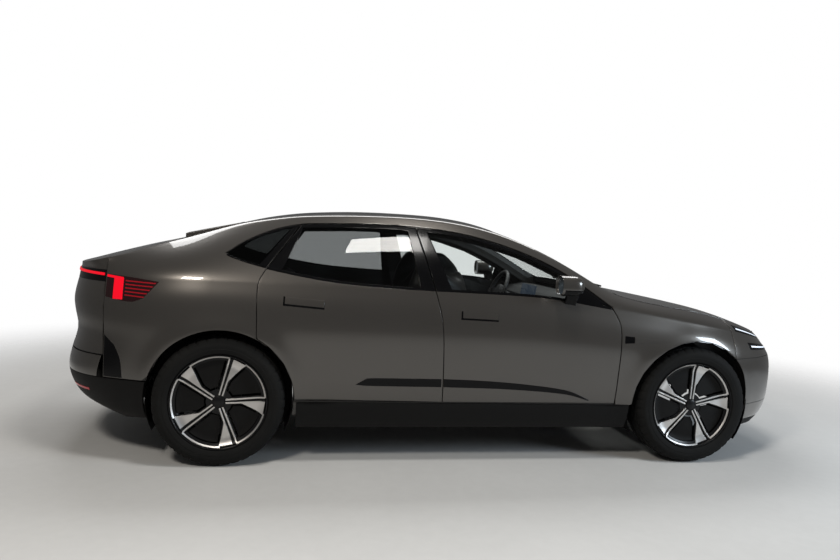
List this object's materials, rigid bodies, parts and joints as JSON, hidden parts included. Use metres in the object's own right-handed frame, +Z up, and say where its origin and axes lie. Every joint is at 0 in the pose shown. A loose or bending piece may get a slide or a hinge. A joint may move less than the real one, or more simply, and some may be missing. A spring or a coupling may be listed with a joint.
{
  "type": "coupe sport utility vehicle",
  "caption": "Five-seat electric coupe sport utility vehicle with fastback roof, opening doors, hood and tailgate, steered front wheels and rolling wheels.",
  "frame": {"origin": "on the ground, under the middle of the vehicle's bounding box", "axes": "+X forward, +Y to the left, +Z up"},
  "size_m": [4.8403, 2.148, 1.5439],
  "materials": {
    "paint": "glossy metallic clear coat",
    "shell_metal": "satin primer",
    "dark_metal": "satin black",
    "case_alloy": "cast",
    "cast_iron": "rough cast",
    "roof_glass": "deep tinted, polished",
    "clear_glass": "polished, light tint",
    "dark_glass": "polished, deep privacy tint",
    "black_plastic": "fine grain",
    "lamp_clear": "polished lens",
    "lamp_red": "polished lens",
    "cabin_plastic": "soft touch grain",
    "seat_leather": "fine grain, stitched",
    "rim_alloy": "machined face with black pockets",
    "tyre_rubber": "matt rubber"
  },
  "bodies": {
    "shell": {"platform": "shell_metal", "battery_pack": "case_alloy", "drive_unit": "case_alloy", "front_subframe": "dark_metal", "rear_subframe": "dark_metal", "rear_knuckles": "cast_iron", "body_side_left": "paint", "body_side_right": "paint", "roof_panel": "roof_glass", "windshield": "clear_glass", "cowl": "black_plastic", "quarter_glass": "dark_glass", "fenders": "paint", "front_bumper": "paint", "nose_panel": "paint", "headlamps": "lamp_clear", "rear_bumper": "black_plastic", "tail_lamps": "lamp_red", "arch_liners": "black_plastic", "sill_trims": "black_plastic", "dashboard": "cabin_plastic", "console": "cabin_plastic", "front_seats": "seat_leather", "rear_seat": "seat_leather"},
    "door_front_left": {"door_fl": "paint", "glass_fl": "clear_glass", "mirror_left": "paint"},
    "door_front_right": {"door_fr": "paint", "glass_fr": "clear_glass", "mirror_right": "paint"},
    "door_rear_left": {"door_rl": "paint", "glass_rl": "dark_glass"},
    "door_rear_right": {"door_rr": "paint", "glass_rr": "dark_glass"},
    "hood_lid": {"hood": "paint"},
    "tailgate_lid": {"tailgate": "paint", "light_bar": "lamp_red"},
    "hand_wheel": {"steering_wheel": "seat_leather"},
    "steer_left": {"knuckle_fl": "cast_iron"},
    "steer_right": {"knuckle_fr": "cast_iron"},
    "wheel_fl": {"rim_fl": "rim_alloy", "tyre_fl": "tyre_rubber"},
    "wheel_fr": {"rim_fr": "rim_alloy", "tyre_fr": "tyre_rubber"},
    "wheel_rl": {"rim_rl": "rim_alloy", "tyre_rl": "tyre_rubber"},
    "wheel_rr": {"rim_rr": "rim_alloy", "tyre_rr": "tyre_rubber"}
  },
  "joints": [
    {"name": "door_fl_swing", "type": "hinge", "parent": "shell", "child": "door_front_left", "pos_m": [1.0255, 0.985, 0.8], "axis": [0, 0, -1], "range_deg": [0, 65]},
    {"name": "door_fr_swing", "type": "hinge", "parent": "shell", "child": "door_front_right", "pos_m": [1.0255, -0.985, 0.8], "axis": [0, 0, 1], "range_deg": [0, 65]},
    {"name": "door_rl_swing", "type": "hinge", "parent": "shell", "child": "door_rear_left", "pos_m": [-0.112, 0.985, 0.8], "axis": [0, 0, -1], "range_deg": [0, 65]},
    {"name": "door_rr_swing", "type": "hinge", "parent": "shell", "child": "door_rear_right", "pos_m": [-0.112, -0.985, 0.8], "axis": [0, 0, 1], "range_deg": [0, 65]},
    {"name": "hood_lift", "type": "hinge", "parent": "shell", "child": "hood_lid", "pos_m": [1.0602, 0, 1.09], "axis": [0, -1, 0], "range_deg": [0, 55]},
    {"name": "tailgate_lift", "type": "hinge", "parent": "shell", "child": "tailgate_lid", "pos_m": [-1.3602, 0, 1.436], "axis": [0, 1, 0], "range_deg": [0, 75]},
    {"name": "steer_left_turn", "type": "hinge", "parent": "shell", "child": "steer_left", "pos_m": [1.56, 0.848, 0.19], "axis": [0, 0, 1], "range_deg": [-35, 35]},
    {"name": "steer_right_turn", "type": "hinge", "parent": "shell", "child": "steer_right", "pos_m": [1.56, -0.848, 0.19], "axis": [0, 0, 1], "range_deg": [-35, 35]},
    {"name": "hand_wheel_turn", "type": "hinge", "parent": "shell", "child": "hand_wheel", "pos_m": [0.59, 0.38, 0.985], "axis": [-0.9136, 0, 0.4067], "range_deg": [-480, 480]},
    {"name": "wheel_fl_spin", "type": "hinge", "parent": "steer_left", "child": "wheel_fl", "pos_m": [1.56, 0.848, 0.381], "axis": [0, 1, 0], "continuous": true},
    {"name": "wheel_fr_spin", "type": "hinge", "parent": "steer_right", "child": "wheel_fr", "pos_m": [1.56, -0.848, 0.381], "axis": [0, 1, 0], "continuous": true},
    {"name": "wheel_rl_spin", "type": "hinge", "parent": "shell", "child": "wheel_rl", "pos_m": [-1.439, 0.848, 0.381], "axis": [0, 1, 0], "continuous": true},
    {"name": "wheel_rr_spin", "type": "hinge", "parent": "shell", "child": "wheel_rr", "pos_m": [-1.439, -0.848, 0.381], "axis": [0, 1, 0], "continuous": true}
  ],
  "couplings": [
    {"joint": "steer_right_turn", "follows": "steer_left_turn", "ratio": 1},
    {"joint": "hand_wheel_turn", "follows": "steer_left_turn", "ratio": 13.5}
  ]
}
